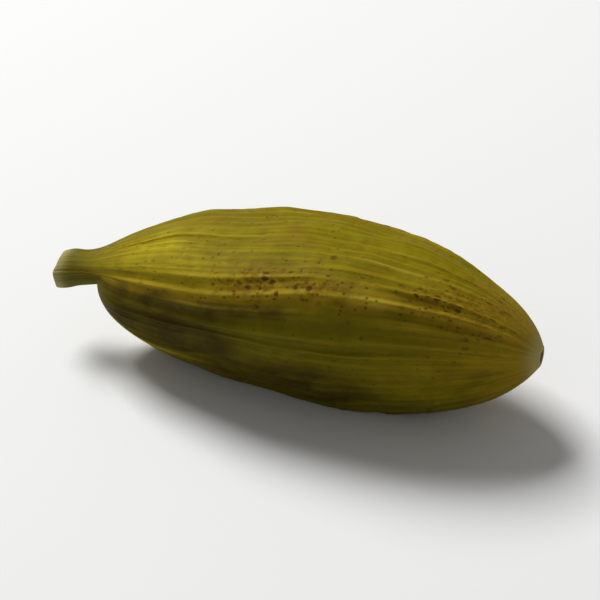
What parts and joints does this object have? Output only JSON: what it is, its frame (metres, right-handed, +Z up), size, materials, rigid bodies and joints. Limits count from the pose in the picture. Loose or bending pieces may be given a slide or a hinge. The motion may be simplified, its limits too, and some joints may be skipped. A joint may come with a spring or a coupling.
{
  "type": "green cardamom pod",
  "caption": "Dried green cardamom pod: a ribbed, three-sided seed capsule with a short hollow beak and a small stalk scar, lying on its side.",
  "frame": {"origin": "below the middle of the pod's box, on the surface that it rests on", "axes": "+X along the pod from the beak to the stalk end, +Z up, -Y towards the side that the picture shows"},
  "size_m": [0.0206, 0.0082, 0.0074],
  "materials": {
    "husk": "dry ribbed husk, olive green with yellow and tan ridges and brown specks, satin"
  },
  "bodies": {
    "root": {"pod": "husk"}
  },
  "joints": []
}
